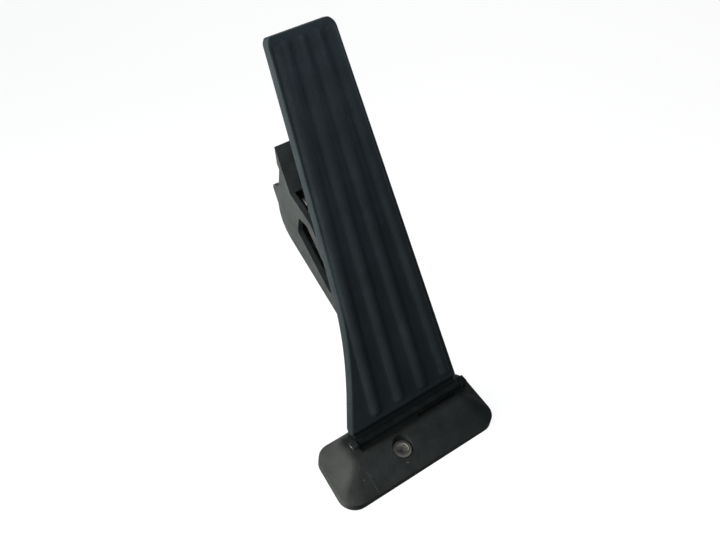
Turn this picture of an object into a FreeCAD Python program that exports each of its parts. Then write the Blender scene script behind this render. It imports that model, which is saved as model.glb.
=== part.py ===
import FreeCAD, Part
import math
import operator
import os
import Sketcher

# Floor mounted accelerator pedal with its sensor, in millimetres.
# X runs along the hinge, Y back, Z up from the floor.
# The origin is where the axis of the fixing screw meets the floor.
doc = FreeCAD.newDocument("accelerator_pedal_sensor")
sheet = doc.addObject("Spreadsheet::Sheet", "Sizes")
V = FreeCAD.Vector
SIGNS = {"+": operator.add, "-": operator.sub, "*": operator.mul, "/": operator.truediv}


class Size:
    """A number with the sheet expression that gives it, so that sums of sizes stay bound to the sheet."""

    def __init__(self, value, text):
        self.value = value
        self.text = text

    def __add__(self, other):
        return joined(self, "+", other)

    def __radd__(self, other):
        return joined(other, "+", self)

    def __sub__(self, other):
        return joined(self, "-", other)

    def __rsub__(self, other):
        return joined(other, "-", self)

    def __mul__(self, other):
        return joined(self, "*", other)

    def __rmul__(self, other):
        return joined(other, "*", self)

    def __truediv__(self, other):
        return joined(self, "/", other)

    def __neg__(self):
        return joined(0, "-", self)


def as_size(number):
    return number if isinstance(number, Size) else Size(float(number), repr(float(number)))


def joined(left, sign, right):
    left = as_size(left)
    right = as_size(right)
    return Size(SIGNS[sign](left.value, right.value), "(%s %s %s)" % (left.text, sign, right.text))


def sine(angle):
    return Size(math.sin(math.radians(angle.value)), "sin(%s)" % angle.text)


def cosine(angle):
    return Size(math.cos(math.radians(angle.value)), "cos(%s)" % angle.text)


def arcsine(ratio):
    """The angle in degrees; the sheet gives it with its unit, which is divided off."""
    return Size(math.degrees(math.asin(ratio.value)), "(asin(%s) / 1 deg)" % ratio.text)


def slope_angle(rise, run):
    text = "(atan2(%s; %s) / 1 deg)" % (rise.text, run.text)
    return Size(math.degrees(math.atan2(rise.value, run.value)), text)


def tangent(angle):
    return Size(math.tan(math.radians(angle.value)), "tan(%s)" % angle.text)


def size(alias, number):
    """One driving dimension: a cell of the sheet with its alias."""
    size.row += 1
    cell = "B%d" % size.row
    sheet.set("A%d" % size.row, alias)
    sheet.set(cell, str(number))
    sheet.setAlias(cell, alias)
    return Size(float(number), "Sizes." + alias)


size.row = 0


def bind(item, path, length):
    item.setExpression(path, as_size(length).text)


# Building blocks: bodies, sketches and features

def new_body(label, x=0, y=0, z=0, turn=None):
    """An empty body with its place; turn is an angle about X."""
    body = doc.addObject("PartDesign::Body", label)
    body.Label = label
    body.Placement = FreeCAD.Placement(V(0, 0, 0), FreeCAD.Rotation(V(1, 0, 0), turn.value if turn else 0))
    bind(body, "Placement.Base.x", x)
    bind(body, "Placement.Base.y", y)
    bind(body, "Placement.Base.z", z)
    if turn:
        bind(body, "Placement.Rotation.Angle", turn)
    return body


def new_sketch(body, plane, offset=0, x=0, y=0, turn=None):
    """A sketch on an origin plane of its body, moved along the plane's normal and, if asked, in the plane."""
    sketch = body.newObject("Sketcher::SketchObject", body.Label + "_sketch")
    support = [item for item in body.Origin.OriginFeatures if item.Role == plane][0]
    sketch.AttachmentSupport = (support, [""])
    sketch.MapMode = "FlatFace"
    spin = FreeCAD.Rotation(V(0, 0, 1), turn.value if turn else 0)
    sketch.AttachmentOffset = FreeCAD.Placement(V(0, 0, 0), spin)
    bind(sketch, "AttachmentOffset.Base.x", x)
    bind(sketch, "AttachmentOffset.Base.y", y)
    bind(sketch, "AttachmentOffset.Base.z", offset)
    if turn:
        bind(sketch, "AttachmentOffset.Rotation.Angle", turn)
    return sketch


def constrain(sketch, rules):
    """Adds constraints and binds those that come with a size; rules holds (words, size or None)."""
    first = sketch.ConstraintCount
    made = []
    for words, length in rules:
        values = words if length is None else words + (as_size(length).value,)
        made.append(Sketcher.Constraint(*values))
    sketch.addConstraint(made)
    for index, (words, length) in enumerate(rules):
        if isinstance(length, Size):
            bind(sketch, "Constraints[%d]" % (first + index), length)


def outline(sketch, corners):
    """A closed outline by its sharp corners, counter-clockwise, as (x, y) or (x, y, rounding radius)."""
    count = len(corners)
    points = [V(as_size(c[0]).value, as_size(c[1]).value, 0) for c in corners]
    radii = [as_size(c[2]).value if len(c) > 2 else 0 for c in corners]
    enter = []
    leave = []
    middle = []
    left_turn = []
    for i in range(count):
        back = (points[i - 1] - points[i]).normalize()
        ahead = (points[(i + 1) % count] - points[i]).normalize()
        half = back.getAngle(ahead) / 2
        reach = radii[i] / math.tan(half)
        enter.append(points[i] + back * reach)
        leave.append(points[i] + ahead * reach)
        bisector = back + ahead
        if radii[i]:
            bisector.normalize()
            middle.append(points[i] + bisector * (radii[i] / math.sin(half) - radii[i]))
        else:
            middle.append(points[i])
        left_turn.append((back * -1).cross(ahead).z > 0)
    base = sketch.GeometryCount
    shapes = [Part.LineSegment(leave[i], enter[(i + 1) % count]) for i in range(count)]
    rules = []
    for i, corner in enumerate(corners):
        before = base + (i - 1) % count
        after = base + i
        if radii[i]:
            arc = base + len(shapes)
            shapes.append(Part.Arc(enter[i], middle[i], leave[i]))
            sharp = base + len(shapes)
            shapes.append(Part.Point(points[i]))
            first, last = (1, 2) if left_turn[i] else (2, 1)
            rules.append((("Tangent", before, 2, arc, first), None))
            rules.append((("Tangent", arc, last, after, 1), None))
            rules.append((("Radius", arc), corner[2]))
            rules.append((("PointOnObject", sharp, 1, before), None))
            rules.append((("PointOnObject", sharp, 1, after), None))
            rules.append((("DistanceX", sharp, 1), corner[0]))
            rules.append((("DistanceY", sharp, 1), corner[1]))
        else:
            rules.append((("Coincident", before, 2, after, 1), None))
            rules.append((("DistanceX", after, 1), corner[0]))
            rules.append((("DistanceY", after, 1), corner[1]))
    sketch.addGeometry(shapes, False)
    constrain(sketch, rules)


def circle(sketch, x, y, radius):
    index = sketch.GeometryCount
    centre = V(as_size(x).value, as_size(y).value, 0)
    sketch.addGeometry(Part.Circle(centre, V(0, 0, 1), as_size(radius).value), False)
    constrain(sketch, [
        (("DistanceX", index, 3), x),
        (("DistanceY", index, 3), y),
        (("Radius", index), radius),
    ])


def feature(body, kind, sketch, **links):
    made = body.newObject("PartDesign::" + kind, body.Label + "_" + kind.lower())
    made.Profile = sketch
    for name, value in links.items():
        setattr(made, name, value)
    return made


def pad(body, sketch, length):
    bind(feature(body, "Pad", sketch), "Length", length)


def pocket(body, sketch, length, along=True):
    """Cuts along the sketch's normal, or against it."""
    bind(feature(body, "Pocket", sketch, Reversed=along), "Length", length)


def box_corners(low_x, low_y, high_x, high_y, radius=None):
    corners = [(low_x, low_y), (high_x, low_y), (high_x, high_y), (low_x, high_y)]
    return [corner + (radius,) for corner in corners] if radius else corners


def turned(label, profile, y=0, z=0):
    """A piece turned about its own X axis: profile is (along, radius) corners."""
    body = new_body(label, 0, y, z)
    sketch = new_sketch(body, "XY_Plane")
    outline(sketch, profile)
    feature(body, "Revolution", sketch, ReferenceAxis=(sketch, ["H_Axis"]))
    return body


# Driving dimensions

# Foot: outline on the floor, rim, roof and the recess for the hinge
foot_front = size("foot_front", 12.3)
foot_back = size("foot_back", 25)
foot_left = size("foot_left", 42.5)
foot_right = size("foot_right", 56)
foot_lean_left = size("foot_lean_left", 5)
foot_lean_right = size("foot_lean_right", 2)
foot_corner = size("foot_corner_radius", 9)
rim_height = size("rim_height", 5)
roof_height = size("roof_height", 14)
roof_front = size("roof_front", 5.7)
roof_back = size("roof_back", 20)
roof_left = size("roof_left", 26)
roof_right = size("roof_right", 44)
roof_corner = size("roof_corner_radius", 3)
roof_round = size("roof_round_radius", 4)
cell_depth = size("underside_cell_depth", 3)
cell_wall = size("underside_wall", 3)

# Steel sleeve that takes the fixing screw
sleeve_radius = size("sleeve_radius", 5)
sleeve_bore = size("sleeve_bore_radius", 3.2)
sleeve_length = size("sleeve_length", 9)
sleeve_chamfer = size("sleeve_chamfer", 0.4)
sleeve_grip = size("sleeve_grip_length", 6)
sleeve_recess_gap = size("sleeve_recess_gap", 0.55)
press_gap = size("press_gap", 0.02)

# Hinge of the pedal
hinge_y = size("hinge_y", 12.9)
hinge_z = size("hinge_z", 13.3)
pin_radius = size("pin_radius", 1.1)
running_gap = size("running_gap", 0.05)
barrel_radius = size("barrel_radius", 2)
barrel_left = size("barrel_left", 20)
barrel_right = size("barrel_right", 47.8)
barrel_end_gap = size("barrel_end_gap", 0.4)
trough_gap = size("trough_gap", 0.5)
trough_front = size("trough_front", 5.3)
deep_left = size("deep_recess_left", 18)
deep_right = size("deep_recess_right", 44)
deep_depth = size("deep_recess_depth", 2.3)
ear_thickness = size("ear_thickness", 3.2)
ear_radius = size("ear_radius", 2.4)
ear_round = size("ear_round_radius", 0.9)
pin_chamfer = size("pin_chamfer", 0.3)

# Pedal plate, in its own frame: X across, Y up the plate from the pin, Z out of its face
plate_angle = size("plate_angle", 54.8)
pedal_travel = size("pedal_travel", 14)
plate_length = size("plate_length", 202.2)
plate_foot = size("plate_foot", 5.6)
plate_foot_left = size("plate_foot_left", 20.6)
foot_chamfer = size("foot_chamfer", 2)
plate_top_left = size("plate_top_left", 0.2)
plate_top_right = size("plate_top_right", 37)
plate_corner_left = size("plate_left_corner_radius", 3.5)
plate_corner_right = size("plate_right_corner_radius", 5.5)
flare_height = size("flare_height", 50)
flare_left = size("flare_left", 6)
flare_radius = size("flare_radius", 200)
face_offset = size("face_offset", 0.02)
face_thickness = size("face_thickness", 3)
skirt_depth = size("skirt_depth", 5.5)
skirt_wall = size("skirt_wall", 2.4)
skirt_foot = size("skirt_foot", 7.5)
tread_width = size("tread_rib_width", 6.9)
tread_height = size("tread_rib_height", 2)
tread_end = size("tread_rib_end_radius", 3.4)
tread_low = size("tread_rib_low_end", 12)
tread_high = size("tread_rib_high_end", 196)
tread_low_first = size("tread_first_low_x", -3.9)
tread_low_pitch = size("tread_low_pitch", 15.1)
tread_high_first = size("tread_first_high_x", 5.1)
tread_high_pitch = size("tread_high_pitch", 9.15)
stiffener_width = size("stiffener_width", 1.8)
stiffener_gap = size("stiffener_gap", 0.8)

# Carrier beam and housing, side view in Y and Z
wall_left = size("wall_left", 9)
wall_thickness = size("wall_thickness", 3)
channel_width = size("channel_width", 19)
beam_low_y = size("beam_low_y", 28.5)
beam_low_z = size("beam_low_z", 18)
housing_back = size("housing_back", 129.5)
beam_high_z = size("beam_high_z", 60)
housing_round = size("housing_round_radius", 22)
crest_y = size("crest_y", 134.4)
crest_z = size("crest_z", 106.1)
crest_step = size("crest_step", 9.6)
shoulder_step = size("shoulder_step", 2)
crest_lean = size("crest_lean", 2.8)
brow_y = size("brow_y", 119)
brow_z = size("brow_z", 85.4)
rail_run = size("rail_run", 109)
root_run = size("root_run", 9)
rail_gap = size("rail_gap", 1.8)
root_y = size("root_y", 21)
root_z = size("root_z", 10)
keel_depth = size("keel_depth", 12)
keel_thickness = size("keel_thickness", 3)
window_front = size("window_front_y", 78)
window_back = size("window_back_y", 110.5)
window_corner = size("window_corner_radius", 1.6)
flange_front = size("flange_front_height", 6.5)
flange_back = size("flange_back_height", 13.2)
rail_height = size("rail_height", 3.5)
cross_rib_y = size("cross_rib_y", 105.3)
cross_rib_pitch = size("cross_rib_pitch", 13)
cross_rib_width = size("cross_rib_width", 2)
cross_rib_height = size("cross_rib_height", 3)
lug_z = size("lug_z", 78)
lug_height = size("lug_height", 14)
lug_reach = size("lug_reach", 5)

# Lever, shaft and bushes, in the side view and along X
shaft_y = size("shaft_y", 117.5)
shaft_z = size("shaft_z", 74)
shaft_radius = size("shaft_radius", 3)
lever_length = size("lever_length", 52)
lever_width = size("lever_width", 6.4)
hub_radius = size("hub_radius", 7)
sleeve_hub = size("spring_hub_radius", 4.6)
arm_height = size("arm_height", 7)
arm_tip = size("arm_tip_height", 3)
arm_hollow_height = size("arm_hollow_height", 4.4)
arm_web = size("arm_web_thickness", 2.2)
arm_rim = size("arm_rim", 1.6)
nose_radius = size("nose_radius", 5)
cap_thickness = size("cap_thickness", 1.2)
cap_overhang = size("cap_overhang", 0.8)
nose_gap = size("nose_gap", 0.3)
bush_radius = size("bush_radius", 4.5)
bush_flange = size("bush_flange_radius", 6.2)
flange_thickness = size("flange_thickness", 1)
bush_inset = size("bush_inset", 1.2)
boss_height = size("boss_height", 1.2)
side_play = size("side_play", 0.2)
wire_radius = size("spring_wire_radius", 0.55)
coil_gap = size("coil_gap", 0.5)
pad_width = size("slide_pad_width", 12)
pad_margin = size("slide_pad_margin", 2)
turn_gap = size("spring_turn_gap", 0.1)
spring_leg = size("spring_leg_length", 14)

# Sensor chamber on the right wall, along X
chamber_low_y = size("chamber_low_y", 102.5)
chamber_high_y = size("chamber_high_y", 130)
chamber_low_z = size("chamber_low_z", 58)
chamber_high_z = size("chamber_high_z", 84)
chamber_corner = size("chamber_corner_radius", 4)
chamber_wall = size("chamber_wall", 2.6)
chamber_height = size("chamber_height", 12)
chamber_floor = size("chamber_floor", 1.5)
seal_width = size("seal_width", 1.2)
seal_depth = size("seal_depth", 1)
cover_thickness = size("cover_thickness", 2.5)
holder_radius = size("magnet_holder_radius", 6)
holder_length = size("magnet_holder_length", 3.5)
holder_gap = size("magnet_holder_gap", 0.5)
magnet_radius = size("magnet_radius", 4.5)
magnet_length = size("magnet_length", 2)
air_gap = size("sensor_air_gap", 0.6)
hall_thickness = size("hall_thickness", 1.2)
hall_side = size("hall_side", 5)
board_thickness = size("board_thickness", 1.6)
board_margin = size("board_margin", 1)
capacitor_length = size("capacitor_length", 3.2)
capacitor_width = size("capacitor_width", 1.6)
capacitor_height = size("capacitor_height", 1.1)
socket_width = size("socket_width", 22)
socket_height = size("socket_height", 10)
socket_depth = size("socket_depth", 13)
socket_wall = size("socket_wall", 1.6)
socket_corner = size("socket_corner_radius", 1.8)
pin_side = size("terminal_side", 0.8)
pin_pitch = size("terminal_pitch", 3)
pin_reach = size("terminal_reach", 7)
screw_radius = size("screw_radius", 1.2)
screw_head = size("screw_head_radius", 2.8)
screw_head_height = size("screw_head_height", 2)
screw_length = size("screw_length", 8)
screw_boss = size("screw_boss_radius", 3.4)
screw_step = size("screw_boss_step", 1.6)
bumper_radius = size("bumper_radius", 4)
bumper_height = size("bumper_height", 6)
bumper_set_back = size("bumper_set_back", 6)
bumper_round = size("bumper_round", 0.8)

# Places worked out from the sizes

wall_inner = wall_left + wall_thickness
right_inner = wall_inner + channel_width
right_outer = right_inner + wall_thickness
channel_middle = wall_inner + channel_width / 2
beam_angle = slope_angle(beam_high_z - beam_low_z, housing_back - beam_low_y)
beam_skin = wall_thickness / cosine(beam_angle)
pressed_angle = plate_angle - pedal_travel
shoulder_z = crest_z - crest_step - shoulder_step
roof_slope = slope_angle(crest_z - brow_z, crest_y - brow_y)
tread_radius = (tread_width * tread_width / 4 + tread_height * tread_height) / (2 * tread_height)
plate_back = face_offset - face_thickness
chamber_top = right_outer + chamber_height
magnet_start = right_outer + chamber_floor + holder_gap + holder_length
hall_start = magnet_start + magnet_length + air_gap
board_start = hall_start + hall_thickness
FUZZ = 0.001
TREAD_RIBS = 4
TERMINALS = 6
CAPACITORS = 3
SPRING_TURNS = 2
STIFFENERS = 4


def pressed_point(run):
    """A point the rail gap below the back of the fully pressed plate, at a distance up it from the pin."""
    drop = skirt_depth - face_offset + rail_gap
    y = hinge_y + run * cosine(pressed_angle) + drop * sine(pressed_angle)
    z = hinge_z + run * sine(pressed_angle) - drop * cosine(pressed_angle)
    return y, z


def beam_under(y):
    """Height of the beam's underside."""
    return beam_low_z + (y - beam_low_y) * tangent(beam_angle)


def lever_angle_at(tilt):
    """The lever's angle from +Y that keeps its nose the nose gap off the slide pad, for a plate's tilt."""
    reach_y = sine(tilt) * (shaft_y - hinge_y)
    reach_z = cosine(tilt) * (shaft_z - hinge_z)
    stand_off = skirt_depth + nose_radius + nose_gap
    return tilt + 180 - arcsine((reach_y - reach_z - stand_off) / lever_length)


def nose_run(lever, tilt):
    """How far up the plate the lever's nose lies, for the angles of both."""
    reach_y = shaft_y - hinge_y + lever_length * cosine(lever)
    reach_z = shaft_z - hinge_z + lever_length * sine(lever)
    return reach_y * cosine(tilt) + reach_z * sine(tilt)


lever_angle = lever_angle_at(plate_angle)
lever_travel = lever_angle_at(pressed_angle) - lever_angle
pad_low = nose_run(lever_angle + lever_travel, pressed_angle) - pad_margin
pad_high = nose_run(lever_angle, plate_angle) + pad_margin
nodes = []

# Base carrier: foot, hinge ears, beam and sensor housing, one moulding

carrier = new_body("base_carrier")
nodes.append(carrier)
foot_corners = [
    (-foot_left, -foot_front, foot_corner),
    (foot_right, -foot_front, foot_corner),
    (foot_right + foot_lean_right, foot_back, foot_corner),
    (foot_lean_left - foot_left, foot_back, foot_corner),
]
rim = new_sketch(carrier, "XY_Plane")
outline(rim, foot_corners)
pad(carrier, rim, rim_height)
roof_low = new_sketch(carrier, "XY_Plane", rim_height)
outline(roof_low, foot_corners)
roof_high = new_sketch(carrier, "XY_Plane", roof_height)
outline(roof_high, box_corners(-roof_left, roof_front, roof_right, roof_back, roof_corner))
hip_roof = feature(carrier, "AdditiveLoft", roof_low, Sections=[roof_high], Ruled=True)
doc.recompute()
brow_edges = [
    "Edge%d" % (index + 1) for index, edge in enumerate(hip_roof.Shape.Edges)
    if all(abs(vertex.Z - roof_height.value) < FUZZ for vertex in edge.Vertexes)
]
soft_brow = carrier.newObject("PartDesign::Fillet", "base_carrier_fillet")
soft_brow.Base = (hip_roof, brow_edges)
bind(soft_brow, "Radius", roof_round)

# The trough that the hinge barrel turns in, open to the back
trough_left = -barrel_left - barrel_end_gap
trough_length = barrel_left + barrel_right + 2 * barrel_end_gap
trough = new_sketch(carrier, "YZ_Plane", trough_left)
trough_floor = hinge_z - barrel_radius - trough_gap
outline(trough, box_corners(hinge_y - trough_front, trough_floor, foot_back, hinge_z + barrel_radius))
pocket(carrier, trough, trough_length)
deep = new_sketch(carrier, "YZ_Plane", deep_left)
deep_low = trough_floor - deep_depth
outline(deep, box_corners(hinge_y - trough_front, deep_low, hinge_y - barrel_radius, hinge_z))
pocket(carrier, deep, deep_right - deep_left)

# An ear at each end of the trough, bored for the pin
for ear_start in (trough_left - ear_thickness, trough_left + trough_length):
    ear = new_sketch(carrier, "YZ_Plane", ear_start)
    outline(ear, [
        (hinge_y - ear_radius, rim_height),
        (hinge_y + ear_radius, rim_height),
        (hinge_y + ear_radius, hinge_z + ear_radius, ear_round),
        (hinge_y - ear_radius, hinge_z + ear_radius, ear_round),
    ])
    pad(carrier, ear, ear_thickness)
pin_hole = new_sketch(carrier, "YZ_Plane", trough_left - ear_thickness)
circle(pin_hole, hinge_y, hinge_z, pin_radius + press_gap)
pocket(carrier, pin_hole, trough_length + 2 * ear_thickness)

# The hole for the sleeve, wider above the sleeve's grip
grip_hole = new_sketch(carrier, "XY_Plane")
circle(grip_hole, 0, 0, sleeve_radius + press_gap)
pocket(carrier, grip_hole, roof_height)
recess = new_sketch(carrier, "XY_Plane", sleeve_grip)
circle(recess, 0, 0, sleeve_radius + sleeve_recess_gap)
pocket(carrier, recess, roof_height)

# Moulded cells under the foot, on both sides of the sleeve
for low_x, high_x in (
    (foot_lean_left - foot_left + cell_wall, -sleeve_radius - cell_wall),
    (sleeve_radius + cell_wall, foot_right / 2 - cell_wall / 2),
    (foot_right / 2 + cell_wall / 2, foot_right - cell_wall),
):
    for low_y, high_y in (
        (cell_wall - foot_front, roof_front - cell_wall / 2),
        (roof_front + cell_wall / 2, foot_back - cell_wall),
    ):
        cell = new_sketch(carrier, "XY_Plane")
        outline(cell, box_corners(low_x, low_y, high_x, high_y, cell_wall))
        pocket(carrier, cell, cell_depth)

# Side walls: both have the same outline in side view
root_top = pressed_point(root_run)
rail_end = pressed_point(rail_run)
side_corners = [
    (root_y, root_z),
    (beam_low_y, beam_low_z),
    (housing_back, beam_high_z, housing_round),
    (housing_back, shoulder_z),
    (crest_y - crest_lean, crest_z - crest_step),
    (crest_y, crest_z),
    (brow_y, brow_z),
    (rail_end[0] + wall_thickness, rail_end[1] + wall_thickness / 2),
    rail_end,
    root_top,
]
for wall_start in (wall_left, right_inner):
    side = new_sketch(carrier, "YZ_Plane", wall_start)
    outline(side, side_corners)
    pad(carrier, side, wall_thickness)

# Floor, back and roof of the channel between the walls
brow_inner_y = brow_y + wall_thickness * sine(roof_slope)
brow_inner_z = brow_z - wall_thickness * cosine(roof_slope)
back_inner = housing_back - wall_thickness
back_low = beam_high_z + beam_skin - wall_thickness * tangent(beam_angle)
channel = new_sketch(carrier, "YZ_Plane", wall_left)
outline(channel, [
    (beam_low_y, beam_low_z),
    (housing_back, beam_high_z, housing_round),
    (housing_back, shoulder_z),
    (crest_y - crest_lean, crest_z - crest_step),
    (crest_y, crest_z),
    (brow_y, brow_z),
    (brow_inner_y, brow_inner_z),
    (back_inner, brow_inner_z + (back_inner - brow_inner_y) * tangent(roof_slope)),
    (back_inner, back_low, housing_round - wall_thickness),
    (beam_low_y, beam_low_z + beam_skin),
])
pad(carrier, channel, channel_width + 2 * wall_thickness)

# Root block and two keels that carry the beam on the back of the foot
root = new_sketch(carrier, "YZ_Plane", wall_left)
outline(root, [
    (roof_back, rim_height),
    (foot_back, rim_height),
    (beam_low_y + wall_thickness, beam_under(beam_low_y + wall_thickness)),
    (beam_low_y, beam_low_z + beam_skin),
    root_top,
])
pad(carrier, root, channel_width + 2 * wall_thickness)
for keel_start in (channel_middle - keel_depth / 2, channel_middle + keel_depth / 2 - keel_thickness):
    keel = new_sketch(carrier, "YZ_Plane", keel_start)
    outline(keel, [
        (roof_back, rim_height / 2),
        (foot_back, rim_height / 2),
        (shaft_y, beam_under(shaft_y)),
        (beam_low_y, beam_low_z),
    ])
    pad(carrier, keel, keel_thickness)

# Ribs across the floor of the channel
for rib_y in (cross_rib_y, cross_rib_y - cross_rib_pitch, cross_rib_y - 2 * cross_rib_pitch):
    cross_rib = new_sketch(carrier, "YZ_Plane", wall_left)
    outline(cross_rib, [
        (rib_y - cross_rib_width, beam_under(rib_y - cross_rib_width)),
        (rib_y, beam_under(rib_y)),
        (rib_y, beam_under(rib_y) + beam_skin + cross_rib_height),
        (rib_y - cross_rib_width, beam_under(rib_y - cross_rib_width) + beam_skin + cross_rib_height),
    ])
    pad(carrier, cross_rib, channel_width + 2 * wall_thickness)

# Left side: the window between the lower flange and the rail, and a lug behind the housing
window = new_sketch(carrier, "YZ_Plane", wall_left)
strut = rail_height / cosine(pressed_angle)
window_top = rail_end[1] - strut - (rail_end[0] - window_front) * tangent(pressed_angle)
outline(window, [
    (window_front, beam_under(window_front) + flange_front, window_corner),
    (window_back, beam_under(window_back) + flange_back, window_corner),
    (window_back, rail_end[1] - rail_height, window_corner),
    (rail_end[0] + wall_thickness, rail_end[1] - rail_height, window_corner),
    (window_front, window_top, window_corner),
])
pocket(carrier, window, wall_thickness)
lug = new_sketch(carrier, "YZ_Plane", wall_left)
outline(lug, [
    (housing_back - wall_thickness, lug_z - lug_height / 2),
    (housing_back, lug_z - lug_height / 2),
    (housing_back + lug_reach, lug_z),
    (housing_back + lug_reach, lug_z + lug_height / 8),
    (housing_back, lug_z + lug_height / 3),
    (housing_back - wall_thickness, lug_z + lug_height / 3),
])
pad(carrier, lug, wall_thickness)

# Sensor chamber on the right wall, with two screw bosses
chamber_corners = box_corners(chamber_low_y, chamber_low_z, chamber_high_y, chamber_high_z, chamber_corner)
chamber = new_sketch(carrier, "YZ_Plane", right_inner)
outline(chamber, chamber_corners)
pad(carrier, chamber, wall_thickness + chamber_height)
screw_places = [
    (chamber_low_y + 5 * chamber_corner / 2, chamber_high_z + screw_step),
    (chamber_high_y - 5 * chamber_corner / 2, chamber_low_z - screw_step),
]
for y, z in screw_places:
    boss = new_sketch(carrier, "YZ_Plane", right_inner)
    circle(boss, y, z, screw_boss)
    pad(carrier, boss, wall_thickness + chamber_height)
    thread = new_sketch(carrier, "YZ_Plane", chamber_top)
    circle(thread, y, z, screw_radius + press_gap)
    pocket(carrier, thread, screw_length, along=False)
chamber_inner = [
    chamber_low_y + chamber_wall,
    chamber_low_z + chamber_wall,
    chamber_high_y - chamber_wall,
    chamber_high_z - chamber_wall,
]
hollow = new_sketch(carrier, "YZ_Plane", chamber_top)
inner_corner = chamber_corner - chamber_wall / 2
outline(hollow, box_corners(*chamber_inner, inner_corner))
pocket(carrier, hollow, chamber_height - chamber_floor, along=False)
seal_low_y = chamber_inner[0] - seal_width
seal_low_z = chamber_inner[1] - seal_width
seal_high_y = chamber_inner[2] + seal_width
seal_high_z = chamber_inner[3] + seal_width
groove = new_sketch(carrier, "YZ_Plane", chamber_top)
outline(groove, box_corners(seal_low_y, seal_low_z, seal_high_y, seal_high_z, inner_corner))
pocket(carrier, groove, seal_depth, along=False)

# Bosses and bores for the two bushes
left_boss = new_sketch(carrier, "YZ_Plane", wall_inner)
circle(left_boss, shaft_y, shaft_z, bush_flange)
pad(carrier, left_boss, boss_height)
right_boss = new_sketch(carrier, "YZ_Plane", right_inner - boss_height)
circle(right_boss, shaft_y, shaft_z, bush_flange)
pad(carrier, right_boss, boss_height)
left_bore = new_sketch(carrier, "YZ_Plane", wall_left + bush_inset)
circle(left_bore, shaft_y, shaft_z, bush_radius + press_gap)
pocket(carrier, left_bore, wall_thickness + boss_height - bush_inset)
right_bore = new_sketch(carrier, "YZ_Plane", right_inner - boss_height)
circle(right_bore, shaft_y, shaft_z, bush_radius + press_gap)
pocket(carrier, right_bore, boss_height + wall_thickness + chamber_floor)

# Compression sleeve: cut steel tube with chamfered ends

sleeve = new_body("compression_sleeve")
nodes.append(sleeve)
tube = new_sketch(sleeve, "XZ_Plane")
outline(tube, [
    (sleeve_bore, 0),
    (sleeve_radius - sleeve_chamfer, 0),
    (sleeve_radius, sleeve_chamfer),
    (sleeve_radius, sleeve_length - sleeve_chamfer),
    (sleeve_radius - sleeve_chamfer, sleeve_length),
    (sleeve_bore, sleeve_length),
])
feature(sleeve, "Revolution", tube, ReferenceAxis=(tube, ["V_Axis"]))

# Hinge pin: steel, pressed into both ears

pin_start = trough_left - ear_thickness
pin_end = trough_left + trough_length + ear_thickness
nodes.append(turned("hinge_pin", [
    (pin_start, 0),
    (pin_end, 0),
    (pin_end, pin_radius - pin_chamfer),
    (pin_end - pin_chamfer, pin_radius),
    (pin_start + pin_chamfer, pin_radius),
    (pin_start, pin_radius - pin_chamfer),
], hinge_y, hinge_z))

# Pedal plate: face, skirt, stiffeners behind, hinge barrel and the four tread ribs, one moulding

plate = new_body("pedal_plate", 0, hinge_y, hinge_z, plate_angle)
nodes.append(plate)
right_slope = (barrel_right - plate_top_right) / (plate_length - plate_foot)
left_slope = (flare_left - plate_top_left) / (plate_length - flare_height)
flare_slope = (plate_foot_left - flare_left) / (flare_height - plate_foot)


def plate_corners(inset, foot):
    """The plate's outline, drawn in from its edges, from a given height above the pin."""
    return [
        (inset - plate_foot_left + (foot - plate_foot) * flare_slope, foot),
        (barrel_right - inset - (foot - plate_foot) * right_slope, foot),
        (plate_top_right - inset, plate_length - inset, plate_corner_right - inset),
        (inset - plate_top_left, plate_length - inset, plate_corner_left - inset),
        (inset - flare_left, flare_height, flare_radius),
    ]


face = new_sketch(plate, "XY_Plane", plate_back)
outline(face, plate_corners(as_size(0), plate_foot))
pad(plate, face, face_thickness)
skirt = new_sketch(plate, "XY_Plane", face_offset - skirt_depth)
outline(skirt, plate_corners(as_size(0), skirt_foot))
outline(skirt, plate_corners(skirt_wall, skirt_foot + skirt_wall))
pad(plate, skirt, skirt_depth - face_thickness)
lowest = pad_low - stiffener_gap
second = pad_high + stiffener_gap + stiffener_width
pitch = (plate_length - second) / STIFFENERS
for height in [lowest] + [second + pitch * index for index in range(STIFFENERS)]:
    stiffener = new_sketch(plate, "XY_Plane", face_offset - skirt_depth)
    left = skirt_wall / 2 - flare_left + (height - flare_height) * left_slope
    right = plate_top_right - skirt_wall / 2 + (plate_length - height) * right_slope
    outline(stiffener, box_corners(left, height - stiffener_width, right, height))
    pad(plate, stiffener, skirt_depth - face_thickness)

barrel = new_sketch(plate, "YZ_Plane", -barrel_left)
circle(barrel, 0, 0, barrel_radius)
pad(plate, barrel, barrel_left + barrel_right)
web = new_sketch(plate, "YZ_Plane", skirt_wall - barrel_left)
outline(web, [
    (0, -barrel_radius + running_gap),
    (skirt_foot, face_offset - skirt_depth),
    (skirt_foot + skirt_wall, face_offset - skirt_depth),
    (skirt_foot + skirt_wall, plate_back + face_thickness / 2),
    (plate_foot, face_offset),
    (plate_foot - foot_chamfer, face_offset - foot_chamfer),
    (0, -barrel_radius / 2),
])
pad(plate, web, barrel_left + barrel_right - 2 * skirt_wall)
barrel_bore = new_sketch(plate, "YZ_Plane", -barrel_left)
circle(barrel_bore, 0, 0, pin_radius + running_gap)
pocket(plate, barrel_bore, barrel_left + barrel_right)

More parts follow.
